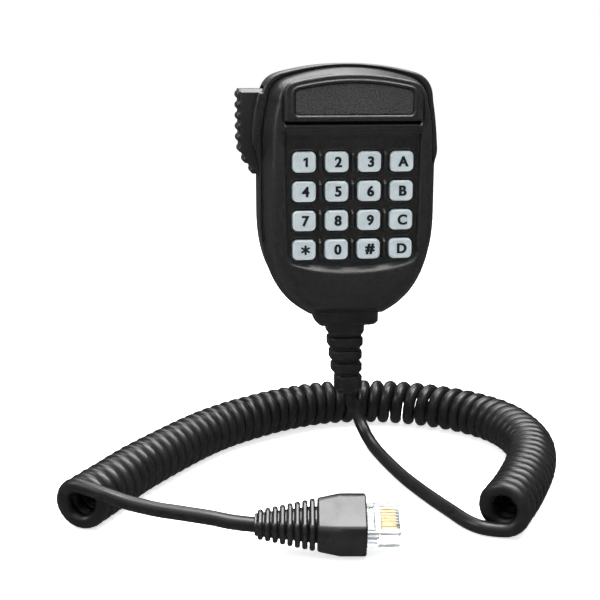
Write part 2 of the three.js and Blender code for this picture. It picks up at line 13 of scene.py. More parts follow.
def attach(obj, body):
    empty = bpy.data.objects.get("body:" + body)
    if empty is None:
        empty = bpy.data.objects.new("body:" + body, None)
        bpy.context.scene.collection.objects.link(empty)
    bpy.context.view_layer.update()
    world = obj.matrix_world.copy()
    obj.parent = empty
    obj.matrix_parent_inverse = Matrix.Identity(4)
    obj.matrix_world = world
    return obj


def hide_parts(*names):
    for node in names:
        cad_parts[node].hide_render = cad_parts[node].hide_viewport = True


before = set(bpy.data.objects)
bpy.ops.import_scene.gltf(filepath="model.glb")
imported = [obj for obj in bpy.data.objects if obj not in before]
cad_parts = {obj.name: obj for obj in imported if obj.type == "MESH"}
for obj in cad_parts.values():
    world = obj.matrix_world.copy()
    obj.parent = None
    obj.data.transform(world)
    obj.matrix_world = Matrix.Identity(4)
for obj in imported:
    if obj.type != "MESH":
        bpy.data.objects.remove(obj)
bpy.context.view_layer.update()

MM = 0.001
BODY = "microphone"

# ---- places and sizes shared with the frame ----
TABLE_Z = -105.0
SEAM_Y = -20.0
REAR_Y = -5.0
BEZEL_Y = -34.0
BROW_Y = -36.0
FLOOR_Y = -32.2
INSIDE_Y = -30.2

CORD_RADIUS = 2.25
HELIX_RADIUS = 6.2
COIL_PITCH = 4.68
COIL_SLACK = {"more": 0.7, "at": 0.42, "spread": 0.09}
POINTS_PER_TURN = 24
RELIEF_END = (2.4, -17.0, -84.9)

LEAD_ROUTE = [
    (2.4, -17, -85.8), (2.9, -17.1, -88.8), (4.7, -17.8, -92.4), (6.3, -20.4, -97.2),
    (7.9, -25.6, -100.8), (9.4, -34, -102.6), (11.1, -48, -102.7), (13.6, -63.1, -102.7),
    (17.4, -78.6, -102.7), (21.3, -91.5, -102.7), (24.4, -101, -102.7), (28, -106.2, -102.7),
]
COIL_ROUTE = [
    (33.2, -108.6), (44.4, -90.8), (55.3, -69.5), (60.3, -50.9), (58.7, -30.6), (49.9, -14.8),
    (35.9, -3), (20, 4), (4.6, 6), (-9, 4), (-27.5, -4.8), (-50.3, -23.3), (-73.3, -53.8),
    (-85.7, -74.7), (-93.2, -87.6),
]
TAIL_ROUTE = [
    (-86, -92.3, -91.4), (-78, -96.6, -93), (-70, -100.4, -93.9), (-62, -103.7, -94.3),
    (-54, -106.8, -94.8), (-48, -109, -95.5), (-42.35, -110.1, -96.05), (-40.5, -110.35, -96.1),
]


# ---- curves ----
def catmull(points, per_span):
    """Points on a smooth curve through the given ones, the last one included."""
    points = [np.array(point, dtype=float) for point in points]
    ends = [2 * points[0] - points[1], *points, 2 * points[-1] - points[-2]]
    out = []
    for index in range(len(points) - 1):
        p0, p1, p2, p3 = ends[index:index + 4]
        for step in range(per_span):
            t = step / per_span
            a = 2 * p1
            b = p2 - p0
            c = 2 * p0 - 5 * p1 + 4 * p2 - p3
            d = -p0 + 3 * p1 - 3 * p2 + p3
            out.append(0.5 * (a + b * t + c * t * t + d * t ** 3))
    out.append(points[-1])
    return np.array(out)


def evenly(points, count):
    """The same line, with its points the same distance apart."""
    steps = np.linalg.norm(np.diff(points, axis=0), axis=1)
    along = np.concatenate([[0], np.cumsum(steps)])
    at = np.linspace(0, along[-1], count)
    columns = [np.interp(at, along, column) for column in points.T]
    return np.stack(columns, axis=1), at


def helix_points():
    """The curly stretch: a left-handed helix round the coil's centre line, from the right end's
    lowest point to the left end's highest. The turns stand a little apart below the case."""
    height = TABLE_Z + HELIX_RADIUS + CORD_RADIUS
    centre = catmull([(x, y, height) for x, y in COIL_ROUTE], 40)
    centre, along = evenly(centre, 2400)
    length = along[-1]
    share = along / length
    slack = COIL_SLACK
    pitch = COIL_PITCH + slack["more"] * np.exp(-((share - slack["at"]) / slack["spread"]) ** 2)
    turns = np.concatenate([[0], np.cumsum(np.diff(along) / pitch[1:])])
    whole = round(turns[-1]) + 0.5
    turns *= whole / turns[-1]
    count = int(whole * POINTS_PER_TURN)
    at = np.interp(np.linspace(0, whole, count), turns, np.arange(len(turns)))
    out = []
    for place, turn in zip(at, np.linspace(0, whole, count)):
        low = int(min(place, len(centre) - 2))
        mix = place - low
        point = centre[low] * (1 - mix) + centre[low + 1] * mix
        ahead = centre[min(low + 8, len(centre) - 1)] - centre[max(low - 8, 0)]
        ahead /= np.linalg.norm(ahead)
        up = np.array((0, 0, 1))
        side = np.cross(ahead, up)
        angle = -math.pi / 2 + 2 * math.pi * turn
        out.append(point + HELIX_RADIUS * (side * math.cos(angle) + up * math.sin(angle)))
    return np.array(out)


def cord_points():
    helix = helix_points()
    lead = catmull([*LEAD_ROUTE, helix[0], helix[2]], 10)[:-11]
    tail = catmull([helix[-3], helix[-1], *TAIL_ROUTE], 10)[11:]
    return np.concatenate([lead, helix, tail])


def curve_object(name, points, radius, sides=6):
    curve = bpy.data.curves.new(name, "CURVE")
    curve.dimensions = "3D"
    curve.bevel_depth = radius * MM
    curve.bevel_resolution = sides
    curve.use_fill_caps = True
    spline = curve.splines.new("POLY")
    spline.points.add(len(points) - 1)
    for point, place in zip(spline.points, points):
        point.co = (*(np.array(place) * MM), 1)
    spline.use_smooth = True
    obj = bpy.data.objects.new(name, curve)
    bpy.context.collection.objects.link(obj)
    return obj


def joined(target, others):
    """The other objects' meshes added to the target's, with their materials kept."""
    chosen = [target, *others]
    with bpy.context.temp_override(
        active_object=target, selected_editable_objects=chosen, selected_objects=chosen,
    ):
        bpy.ops.object.join()
    return target


def as_one_mesh(name, curves):
    """Curves turned into one mesh object."""
    bpy.context.view_layer.update()
    graph = bpy.context.evaluated_depsgraph_get()
    pieces = []
    for curve in curves:
        mesh = bpy.data.meshes.new_from_object(curve.evaluated_get(graph))
        piece = bpy.data.objects.new(name, mesh)
        bpy.context.collection.objects.link(piece)
        pieces.append(piece)
    for curve in curves:
        bpy.data.objects.remove(curve)
    return joined(pieces[0], pieces[1:]) if len(pieces) > 1 else pieces[0]


# ---- moulded shapes, as distance fields ----
# A field holds, at each point of a grid, the distance to a surface: negative inside.
HALF_ROOT = 0.7071
ADAPTIVITY = 0.01


class Grid:
    """Points in a box, with x, y and z shaped so that they broadcast against each other."""

    def __init__(self, low, high, step):
        self.low = np.array(low, dtype=np.float32)
        self.step = step
        counts = [int(round((b - a) / step)) + 1 for a, b in zip(low, high)]
        axes = []
        for start, count in zip(low, counts):
            axes.append((start + np.arange(count) * step).astype(np.float32))
        self.x = axes[0][:, None, None]
        self.y = axes[1][None, :, None]
        self.z = axes[2][None, None, :]


def union(*fields):
    out = fields[0]
    for field in fields[1:]:
        out = np.minimum(out, field)
    return out


def cut(field, tool):
    return np.maximum(field, -tool)


def round_meet(a, b, radius):
    """Where both fields are inside, with the edge between them rounded."""
    u = np.maximum(a + radius, 0)
    v = np.maximum(b + radius, 0)
    return np.minimum(np.maximum(a, b), -radius) + np.sqrt(u * u + v * v)


def chamfer_meet(a, b, size):
    return np.maximum(np.maximum(a, b), (a + b + size) * HALF_ROOT)


def soft_union(a, b, blend):
    h = np.clip(blend - np.abs(a - b), 0, None) / blend
    return np.minimum(a, b) - h * h * blend * 0.25


def soft_cut(a, b, blend):
    return -soft_union(-a, b, blend)


def between(value, low, high):
    return np.maximum(low - value, value - high)


def rounded_box(grid, centre, half, radius):
    q = [np.abs(axis - c) - (h - radius) for axis, c, h in zip((grid.x, grid.y, grid.z), centre, half)]
    outside = np.sqrt(sum(np.maximum(value, 0) ** 2 for value in q))
    inside = np.minimum(np.maximum(np.maximum(q[0], q[1]), q[2]), 0)
    return outside + inside - radius


def rounded_rect(u, v, half_u, half_v, radius):
    """The distance to a rounded rectangle in the plane of u and v."""
    a = np.abs(u) - (half_u - radius)
    b = np.abs(v) - (half_v - radius)
    outside = np.sqrt(np.maximum(a, 0) ** 2 + np.maximum(b, 0) ** 2)
    return outside + np.minimum(np.maximum(a, b), 0) - radius


def rod_y(grid, x, z, radius):
    return np.sqrt((grid.x - x) ** 2 + (grid.z - z) ** 2) - radius


def outline_field(points, u, v):
    """The distance to a closed outline in the plane of u and v, negative inside."""
    nearest = np.full(np.broadcast_shapes(u.shape, v.shape), 1e9, dtype=np.float32)
    inside = np.zeros(nearest.shape, dtype=bool)
    for (u0, v0), (u1, v1) in zip(points, np.roll(points, -1, axis=0)):
        du = u1 - u0
        dv = v1 - v0
        if du * du + dv * dv < 1e-12:
            continue
        t = np.clip(((u - u0) * du + (v - v0) * dv) / (du * du + dv * dv), 0, 1)
        nearest = np.minimum(nearest, (u - u0 - du * t) ** 2 + (v - v0 - dv * t) ** 2)
        if dv:
            crosses = ((v0 > v) != (v1 > v)) & (u < (v - v0) * du / dv + u0)
            inside ^= crosses
    distance = np.sqrt(nearest)
    return np.where(inside, -distance, distance).astype(np.float32)


def sampled(values, at):
    """The field between its grid points, by straight-line mixing along each axis."""
    at = np.clip(at, 0, np.array(values.shape) - 1.001)
    corner = at.astype(int)
    mix = (at - corner).astype(np.float32)
    out = np.zeros(len(at), dtype=np.float32)
    for dx in (0, 1):
        for dy in (0, 1):
            for dz in (0, 1):
                weight = np.prod(np.abs(1 - np.array((dx, dy, dz)) - mix), axis=1)
                out += weight * values[corner[:, 0] + dx, corner[:, 1] + dy, corner[:, 2] + dz]
    return out


def field_object(name, grid, field, frame_of=None):
    """The surface where the field is zero, as a mesh object shaded by the field's own slope.
    frame_of gives the origin and the three axes of a field made in a turned frame."""
    reach = 3 * grid.step
    values = np.ascontiguousarray(np.clip(field, -reach, reach), dtype=np.float32)
    volume = openvdb.FloatGrid(reach)
    volume.copyFromArray(values)
    points, triangles, quads = volume.convertToPolygons(0.0, ADAPTIVITY)
    normals = np.zeros((len(points), 3), dtype=np.float32)
    for axis in range(3):
        offset = np.zeros(3)
        offset[axis] = 0.6
        normals[:, axis] = sampled(values, points + offset) - sampled(values, points - offset)
    normals /= np.maximum(np.linalg.norm(normals, axis=1, keepdims=True), 1e-9)
    places = points * grid.step + grid.low
    if frame_of:
        origin, axes = frame_of
        places = np.array(origin) + places @ np.array(axes)
        normals = normals @ np.array(axes)
    return mesh_object(name, places, quads.tolist() + triangles.tolist(), normals)


def mesh_object(name, places, faces, normals=None):
    """A smooth-shaded mesh object from points in millimetres."""
    mesh = bpy.data.meshes.new(name)
    mesh.from_pydata((np.asarray(places) * MM).tolist(), [], faces)
    mesh.validate()
    mesh.polygons.foreach_set("use_smooth", [True] * len(mesh.polygons))
    if normals is not None:
        mesh.normals_split_custom_set_from_vertices(np.asarray(normals).tolist())
    mesh.update()
    obj = bpy.data.objects.new(name, mesh)
    bpy.context.collection.objects.link(obj)
    return obj


# ---- the case ----
CASE = {"half": 31.4, "top": 35.0, "bottom": -53.0, "chin": 13.0, "jaw": 26.4, "wall": 2.0}
FACE = {"narrow": 1.2, "lower": 1.4, "draft": 2.2, "start": -23.0, "run": 11.0}
SHOULDER_Y = -23.0
BROW = {"half": 23.8, "bottom": 15.5, "shoulder": 27.9, "crown": 31.4}
PLATE = {"half": 20.3, "bottom": 17.7, "shoulder": 25.6, "crown": 28.2}
RECESS = {"half": 23.8, "top": 13.0, "side": -33.6, "bottom": -37.2}
KEY = {"width": 8.1, "height": 7.0, "radius": 1.8, "gap": 0.35}
KEY_PITCH = (11.35, 10.12)
KEY_TOP_Z = 1.7
POCKET = {"floor": -26.0, "lining": 1.4, "top": 26.9, "bottom": -4.6, "rear": -8.0, "front": -20.4}
CHEEK = {"reach": 33.9, "high": 25.0, "widest": 9.5, "low": 2.5}
PIVOT = (-28.6, -1.5)
PLUNGER = (-14.2, 16.5)
SCREW_PLACES = [(-18.5, 26.6), (20, 26), (-13.5, -42.5), (13.5, -42.5)]
SCREW = {"shank": 1.3, "pilot": 1.45, "hole": 1.7, "head": 2.7, "sunk": 1.7}
POST = {"front": 3.1, "rear": 4.1, "end": -12.1}
SLOT = {"z": 15.15, "half": 23.4, "half_height": 0.42}
RIDGE = {"z": 13.6, "y": -34.1, "radius": 1.0}
SHELF = {"z": 14.2, "half_height": 1.3, "y": -36.2, "depth": 2.2}
GRIP_LINES = 5
SHELL_STEP = 0.25
HALF_GAP = 0.04
HANGER = {"radius": 8.2, "thick": 2.6, "edge": 0.7}


def quadratic(p0, p1, p2, steps=10):
    t = np.linspace(0, 1, steps, endpoint=False)[:, None]
    return (1 - t) ** 2 * np.array(p0) + 2 * t * (1 - t) * np.array(p1) + t * t * np.array(p2)


def cubic(p0, p1, p2, p3, steps=24):
    t = np.linspace(0, 1, steps, endpoint=False)[:, None]
    start = (1 - t) ** 3 * np.array(p0) + 3 * t * (1 - t) ** 2 * np.array(p1)
    return start + 3 * t * t * (1 - t) * np.array(p2) + t ** 3 * np.array(p3)


def mirrored(right_side):
    """A closed outline from its right half, which runs from the bottom to the top."""
    left = right_side[::-1] * np.array((-1, 1))
    return np.concatenate([right_side, left])


def case_outline(narrow=0.0, lower=0.0):
    """The case's front view: the chin's taper, a straight side, the shoulder's swell, the
    round corner and the low crown. A narrowed outline loses the swell and draws in most
    at the shoulders."""
    side = CASE["half"] - narrow
    swell = 1 - narrow * 1.2
    shoulder = side - 0.9 - narrow * 1.2
    top = CASE["top"] - lower
    jaw = CASE["jaw"] - narrow * 0.8
    corner = 23.5 - narrow * 2.3
    right = np.concatenate([
        cubic((CASE["chin"], CASE["bottom"]), (jaw, -46.5), (side, -34), (side, -18)),
        [(side, -18), (side, -0.5)],
        quadratic((side, -0.5), (side + swell * 0.2, 1.0), (side + swell * 0.7, 2.3)),
        quadratic((side + swell * 0.7, 2.3), (side + swell, 3.5), (side + swell, 5.0)),
        quadratic((side + swell, 5.0), (side + swell * 0.4, 15), (shoulder, 22)),
        quadratic((shoulder, 22), (shoulder - 0.2, top - 5), (corner, top - 3.1), 16),
        quadratic((corner, top - 3.1), (corner / 2, top), (0, top), 16),
    ])
    return mirrored(right)


def arch_outline(dims, foot_radius, radius):
    half, bottom, shoulder, crown = dims["half"], dims["bottom"], dims["shoulder"], dims["crown"]
    lift = shoulder + radius * 0.3
    right = np.concatenate([
        [(0, bottom)],
        quadratic((half - foot_radius, bottom), (half, bottom), (half, bottom + foot_radius)),
        quadratic((half, shoulder - radius), (half, shoulder), (half - radius, lift)),
        quadratic((half - radius, lift), (half * 0.45, crown), (0, crown), 14),
    ])
    return mirrored(right)


def recess_outline(side, bottom, half, top):
    right = np.concatenate([
        quadratic((0, bottom), (half * 0.55, bottom), (half - 3, side - 0.5), 14),
        quadratic((half - 3, side - 0.5), (half - 0.6, side + 0.6), (half - 0.6, side + 4)),
        [(half - 0.6, side + 4), (half, top)],
    ])
    return mirrored(right)


def key_centre(row, column):
    return (column - 1.5) * KEY_PITCH[0], KEY_TOP_Z - row * KEY_PITCH[1]


def key_gaps(grid):
    """The windows that the sixteen keys stand in."""
    windows = []
    gap = KEY["gap"]
    half_x = KEY["width"] / 2 + gap
    half_z = KEY["height"] / 2 + gap
    for row in range(4):
        for column in range(4):
            x, z = key_centre(row, column)
            windows.append(rounded_rect(grid.x - x, grid.z - z, half_x, half_z, KEY["radius"] + gap))
    return union(*windows)


def divider_ribs(grid):
    """Low ribs on the recess floor between neighbouring keys, each with a sloped top end."""
    ribs = []
    for row in range(4):
        for column in range(3):
            x = (column - 1) * KEY_PITCH[0]
            z = key_centre(row, column)[1]
            upright = rounded_rect(grid.x - x, grid.z - z - 0.2, 0.5, 3.6, 0.3)
            slope = (-grid.y + FLOOR_Y - 1.5) + np.maximum(grid.z - (z + 2.4), 0) * 1.2
            ribs.append(round_meet(upright, slope, 0.2))
    return union(*ribs)


def pocket_space(grid):
    middle = (POCKET["top"] + POCKET["bottom"]) / 2
    half = (POCKET["top"] - POCKET["bottom"]) / 2
    depth = (POCKET["rear"] - POCKET["front"]) / 2
    centre_y = (POCKET["rear"] + POCKET["front"]) / 2
    return rounded_box(grid, (POCKET["floor"] - 15, centre_y, middle), (15, depth, half), 0.6)


def pocket_fittings(grid):
    """The lever's pin holes and the window for the switch's plunger."""
    pin = rod_y(grid, *PIVOT, 1.25)
    pin = np.maximum(pin, between(grid.y, POCKET["front"] - 1.2, POCKET["rear"] + 1.2))
    window = np.sqrt((grid.y - PLUNGER[0]) ** 2 + (grid.z - PLUNGER[1]) ** 2) - 1.7
    return union(pin, np.maximum(window, between(grid.x, POCKET["floor"] - 1, POCKET["floor"] + 4)))


def screw_rods(grid, radius):
    """A rod along Y at each of the four screws."""
    return union(*[rod_y(grid, x, z, radius) for x, z in SCREW_PLACES])


def relief_hole(grid):
    hole = rounded_rect(grid.x, grid.y - RELIEF_END[1], 4.8, 3.8, 2.0)
    return np.maximum(hole, grid.z + 49)


def lining(grid, outside):
    grow = POCKET["lining"]
    return np.maximum(pocket_space(grid) - grow, outside)


def cheek(grid):
    """The swell on the left side that covers the talk lever's inner edge."""
    side = CASE["half"]
    reach, high, widest, low = CHEEK["reach"], CHEEK["high"], CHEEK["widest"], CHEEK["low"]
    edge = np.concatenate([
        [(-side + 3, low - 1), (-side, low)],
        quadratic((-reach, widest - 2), (-reach, widest + 8), (-side, high), 16),
        [(-side, high), (-side + 3, high)],
    ])
    swell = outline_field(edge, grid.x, grid.z)
    return round_meet(swell, between(grid.y, SHOULDER_Y, SEAM_Y), 0.7)


def case_front(grid, outline):
    """The outside of the front half: a full-width rim at the seam and the stepped-in face
    with drafted sides. Towards the chin the step and its groove melt into one round."""
    front = -grid.y
    towards_chin = np.clip((-26 - grid.z) / 22, 0, 1)
    rim = round_meet(outline, front + SHOULDER_Y, 0.9)
    inner = outline_field(case_outline(FACE["narrow"], FACE["lower"]), grid.x, grid.z)
    draft = FACE["draft"] * np.clip((front + FACE["start"]) / FACE["run"], 0, 1)
    face = round_meet(inner + draft, front + BEZEL_Y, 1.4 + 6.5 * towards_chin)
    groove = np.sqrt((inner - 0.15) ** 2 + (grid.y - SHOULDER_Y) ** 2) - 0.5
    stepped = union(soft_union(rim, face, 0.25 + 4 * towards_chin), cheek(grid))
    return soft_cut(stepped, groove + 2.5 * towards_chin, 0.3)


def face_details(grid, outside):
    """The brow with its plate, the sound slot and ridge below it, and the keypad's well."""
    front = -grid.y
    brow_edge = outline_field(arch_outline(BROW, 0.5, 3.0), grid.x, grid.z)
    brow = np.maximum(round_meet(brow_edge, front + BROW_Y, 0.9), grid.y + 32)
    side_line = np.maximum(np.sqrt((brow_edge - 0.2) ** 2 + (grid.y - BEZEL_Y) ** 2) - 0.5, grid.z - 28.5)
    outside = soft_union(soft_cut(outside, side_line, 0.3), brow, 0.15)
    plate_edge = outline_field(arch_outline(PLATE, 1.2, 1.2), grid.x, grid.z)
    bead = np.sqrt((plate_edge - 0.85) ** 2 + (grid.y - BROW_Y) ** 2) - 0.38
    outside = soft_union(outside, bead, 0.5)
    shell = cut(outside, np.maximum(plate_edge - 0.12, grid.y - (BROW_Y + 0.65)))
    low = outline_field(recess_outline(RECESS["side"] + 1.7, -35.2, 23.2, 10.6), grid.x, grid.z)
    mouth = recess_outline(RECESS["side"], RECESS["bottom"], RECESS["half"], RECESS["top"])
    high = outline_field(mouth, grid.x, grid.z)
    rise = np.clip((front + FLOOR_Y) / (FLOOR_Y - BEZEL_Y), 0, 1.5)
    well = low * (1 - rise) + high * rise
    shell = soft_cut(shell, round_meet(well, grid.y - FLOOR_Y, 0.3), 0.5)
    shelf_half = (RECESS["half"], SHELF["depth"], SHELF["half_height"])
    shelf = rounded_box(grid, (0, SHELF["y"], SHELF["z"]), shelf_half, 0.2)
    shell = cut(shell, shelf)
    ridge = np.sqrt((grid.z - RIDGE["z"]) ** 2 + (grid.y - RIDGE["y"]) ** 2) - RIDGE["radius"]
    shell = soft_union(shell, np.maximum(ridge, np.abs(grid.x) - RECESS["half"]), 0.3)
    slot_half = (SLOT["half"], 1.9, SLOT["half_height"])
    slot = rounded_box(grid, (0, -33.2, SLOT["z"]), slot_half, 0.25)
    return soft_cut(shell, slot, 0.15)


def front_shell():
    grid = Grid((-34.5, -37, -54.5), (33.5, -11, 36), SHELL_STEP)
    outline = outline_field(case_outline(), grid.x, grid.z)
    outside = case_front(grid, outline)
    shell = face_details(grid, outside)
    shell = union(shell, np.maximum(divider_ribs(grid), grid.y - FLOOR_Y - 0.3))
    windows = key_gaps(grid)
    rim = np.sqrt((windows - 0.25) ** 2 + (grid.y - FLOOR_Y) ** 2) - 0.22
    shell = soft_cut(union(shell, rim), np.maximum(windows, grid.y + 25), 0.15)
    hollow = round_meet(outside + CASE["wall"], INSIDE_Y - grid.y, 0.8)
    shell = union(cut(shell, hollow), lining(grid, outside))
    seam = SEAM_Y - HALF_GAP
    shell = round_meet(shell, grid.y - seam, 0.3)
    posts = screw_rods(grid, POST["front"])
    posts = np.maximum(posts, outline + CASE["wall"] + 0.3)
    posts = np.maximum(posts, between(grid.y, INSIDE_Y - 0.5, POST["end"]))
    pilots = screw_rods(grid, SCREW["pilot"])
    posts = cut(posts, pocket_space(grid) - POCKET["lining"] - 0.1)
    shell = cut(union(shell, posts), np.maximum(pilots, -27 - grid.y))
    shell = cut(cut(cut(shell, pocket_space(grid)), pocket_fittings(grid)), relief_hole(grid))
    return field_object("front_shell", grid, shell)


def rear_shell():
    grid = Grid((-33.5, -21, -54.5), (33.5, -4, 36), SHELL_STEP)
    outline = outline_field(case_outline(), grid.x, grid.z)
    outside = round_meet(outline, grid.y - REAR_Y, 3.2)
    line = np.sqrt((outline + 5.5) ** 2 + (grid.y - REAR_Y) ** 2) - 0.45
    shell = soft_cut(outside, line, 0.3)
    label = rounded_box(grid, (0, REAR_Y, -24), (12, 0.4, 8), 0.35)
    seat = np.abs(np.sqrt(grid.x ** 2 + grid.z ** 2) - 7.6)
    shell = soft_cut(shell, label, 0.15)
    shell = soft_cut(shell, np.sqrt(seat ** 2 + (grid.y - REAR_Y) ** 2) - 0.4, 0.2)
    grip = []
    for index in range(GRIP_LINES):
        half = (7.5 - index * 0.7, 0.45, 0.4)
        grip.append(rounded_box(grid, (0, REAR_Y, -38.4 - index * 1.7), half, 0.3))
    shell = soft_cut(shell, union(*grip), 0.3)
    hollow = round_meet(outline + CASE["wall"], grid.y - (REAR_Y - CASE["wall"]), 1.5)
    shell = union(cut(shell, hollow), lining(grid, outside))
    posts = screw_rods(grid, POST["rear"])
    shell = union(shell, np.maximum(np.maximum(posts, outside), between(grid.y, -12, REAR_Y - 1)))
    holes = screw_rods(grid, SCREW["hole"])
    heads = screw_rods(grid, SCREW["head"] + 0.2)
    shell = cut(shell, holes)
    shell = soft_cut(shell, np.maximum(heads, (REAR_Y - SCREW["sunk"]) - grid.y), 0.3)
    shell = cut(shell, np.maximum(rod_y(grid, 0, 0, 2.1), -9 - grid.y))
    shell = round_meet(shell, (SEAM_Y + HALF_GAP) - grid.y, 0.3)
    shell = cut(cut(cut(shell, pocket_space(grid)), pocket_fittings(grid)), relief_hole(grid))
    return field_object("rear_shell", grid, shell)


def name_plate():
    """A blank, coarse-grained plate whose face is let in and rounded at its edge."""
    grid = Grid((-21.5, -36.6, 16.5), (21.5, -34.6, 29.5), 0.12)
    edge = outline_field(arch_outline(PLATE, 1.2, 1.2), grid.x, grid.z)
    plate = round_meet(edge, -grid.y + BROW_Y + 0.12, 0.35)
    return field_object("name_plate_blank", grid, round_meet(plate, grid.y - (BROW_Y + 0.6), 0.1))


# ---- the keys ----
KEY_NAMES = [
    ["1", "2", "3", "a"],
    ["4", "5", "6", "b"],
    ["7", "8", "9", "c"],
    ["star", "0", "hash", "d"],
]
KEY_FACE_Y = -34.2
KEY_BACK_Y = -29.1
LEGEND_SIZE = 4.8
LEGEND_SHIFT = 0.45
LEGEND_BOLD = 0.15
LEGEND_SPREAD = 0.1  # two copies of each sign, this far to either side, thicken its strokes
ONE = [(-0.15, -1.6), (0.55, -1.6), (0.55, 1.6), (0.05, 1.6), (-0.85, 1.1), (-0.85, 0.4), (-0.15, 0.85)]


def key_cap():
    """One key at the origin: a silicone cap with a soft rim and a slightly sunk face."""
    grid = Grid((-5.4, -34.8, -4.8), (5.4, -28.6, 4.8), 0.12)
    side = rounded_rect(grid.x, grid.z, KEY["width"] / 2, KEY["height"] / 2, KEY["radius"])
    cap = round_meet(side, KEY_FACE_Y - grid.y, 0.7)
    dish = round_meet(side + 1.0, grid.y - (KEY_FACE_Y + 0.1), 0.1)
    cap = soft_cut(cap, np.maximum(dish, KEY_FACE_Y - 2 - grid.y), 0.15)
    flange = rounded_rect(grid.x, grid.z, KEY["width"] / 2 + 0.5, KEY["height"] / 2 + 0.5, 1.0)
    flange = np.maximum(flange, KEY_BACK_Y - 0.8 - grid.y)
    return field_object("key_cap", grid, np.maximum(union(cap, flange), grid.y - KEY_BACK_Y))


def star(reach=1.65, half=0.3):
    """A six-armed star; its arms are strips of twice the half width."""
    spots = []
    for arm in range(6):
        angle = math.radians(90 + 60 * arm)
        out = np.array((math.cos(angle), math.sin(angle)))
        side = np.array((-out[1], out[0]))
        crotch = angle + math.radians(30)
        spots += [out * reach - side * half, out * reach + side * half]
        spots.append(2 * half * np.array((math.cos(crotch), math.sin(crotch))))
    return spots


def drawn_sign(points):
    curve = bpy.data.curves.new("legend", "CURVE")
    curve.dimensions = "2D"
    curve.fill_mode = "BOTH"
    spline = curve.splines.new("POLY")
    spline.points.add(len(points) - 1)
    for spot, (x, z) in zip(spline.points, points):
        spot.co = (x * MM, z * MM, 0, 1)
    spline.use_cyclic_u = True
    return curve


def lettered_sign(letter, bold):
    curve = bpy.data.curves.new("legend", "FONT")
    curve.body = letter
    curve.size = LEGEND_SIZE * MM
    curve.offset = bold * MM
    return curve


def legend(name):
    """A key's printed legend as thin raised ink, centred on the origin, facing the front.
    The 9 is the 6 turned over."""
    if name == "1":
        curve = drawn_sign(ONE)
    elif name == "star":
        curve = drawn_sign(star())
    elif name == "hash":
        curve = lettered_sign("#", LEGEND_BOLD + 0.06)
    else:
        curve = lettered_sign("6" if name == "9" else name.upper(), LEGEND_BOLD)
    curve.extrude = 0.03 * MM
    sign = bpy.data.objects.new("legend", curve)
    bpy.context.collection.objects.link(sign)
    bpy.context.view_layer.update()
    mesh = bpy.data.meshes.new_from_object(sign.evaluated_get(bpy.context.evaluated_depsgraph_get()))
    bpy.data.objects.remove(sign)
    places = np.array([tuple(vertex.co) for vertex in mesh.vertices])
    middle = (places.min(axis=0) + places.max(axis=0)) / 2
    way = -1 if name == "9" else 1
    for vertex in mesh.vertices:
        x, y, z = vertex.co
        vertex.co = ((x - middle[0]) * way, -z + (KEY_FACE_Y + 0.08) * MM, (y - middle[1]) * way)
    return mesh


def make_keys():
    cap = key_cap()
    for row, names in enumerate(KEY_NAMES):
        for column, name in enumerate(names):
            x, z = key_centre(row, column)
            sign = legend(name)
            key = bpy.data.objects.new(f"key_cap_{name}", cap.data.copy())
            bpy.context.collection.objects.link(key)
            key.data.materials.append(MATERIALS["key"])
            sign.materials.append(MATERIALS["ink"])
            strokes = []
            for spread in (-LEGEND_SPREAD, LEGEND_SPREAD):
                ink = bpy.data.objects.new("ink", sign.copy())
                bpy.context.collection.objects.link(ink)
                ink.location = ((LEGEND_SHIFT + spread) * MM, spread * 0.1 * MM, 0)
                strokes.append(ink)
            joined(key, strokes)
            key.data.transform(Matrix.Translation((x * MM, 0, z * MM)))
            placed(key, [f"key_{name}"], None, f"key_{name}_body")
    bpy.data.objects.remove(cap)


# ---- the talk lever ----
LEVER = {"outer": -39.0, "top": 26.2, "bend": 8.0, "foot": -4.0, "taper": 6.3, "inner": -29.6}
LEVER_BUMPS = 8
BUMP_PITCH = 3.75
BUMP_RADIUS = 1.35


def lever_edge(z):
    """The x of the lever's outer edge at height z."""
    share = np.maximum(0, (LEVER["bend"] - z) / (LEVER["bend"] - LEVER["foot"]))
    return LEVER["outer"] + LEVER["taper"] * share ** 1.7


def talk_lever():
    """The lever: a flat-topped pad with rounded grip bumps all down its outer edge."""
    grid = Grid((-40, -21, -5), (-25, -7.4, 27), 0.14)
    front, back = POCKET["front"] + 0.4, POCKET["rear"] - 0.4
    inset = 0.9
    heights = np.linspace(LEVER["foot"], LEVER["top"], 16)
    edge = [(PIVOT[0], LEVER["foot"]), (LEVER["inner"], PIVOT[1] + 2), (LEVER["inner"], LEVER["top"])]
    edge += [(lever_edge(z) + inset, z) for z in heights[::-1]]
    pad = outline_field(np.array(edge), grid.x, grid.z)
    body = round_meet(pad, between(grid.y, front, back), 1.4)
    top_slope = ((grid.z - LEVER["top"]) + (front - grid.y) * 0.8 + 1.3) * 0.78
    body = np.maximum(body, top_slope)
    bumps = []
    for index in range(LEVER_BUMPS):
        z = LEVER["top"] - 2.0 - index * BUMP_PITCH
        x = float(lever_edge(z)) + BUMP_RADIUS
        bump = np.sqrt((grid.x - x) ** 2 + ((grid.z - z) * 0.95) ** 2) - BUMP_RADIUS
        bumps.append(round_meet(bump, between(grid.y, front + 0.3, back - 0.3), 1.0))
    body = soft_union(body, union(*bumps), 0.3)
    hub = np.maximum(rod_y(grid, *PIVOT, 2.2), between(grid.y, front - 0.2, back + 0.2))
    body = soft_union(body, hub, 0.6)
    bore = rod_y(grid, *PIVOT, 1.4)
    return field_object("talk_lever", grid, cut(body, bore))


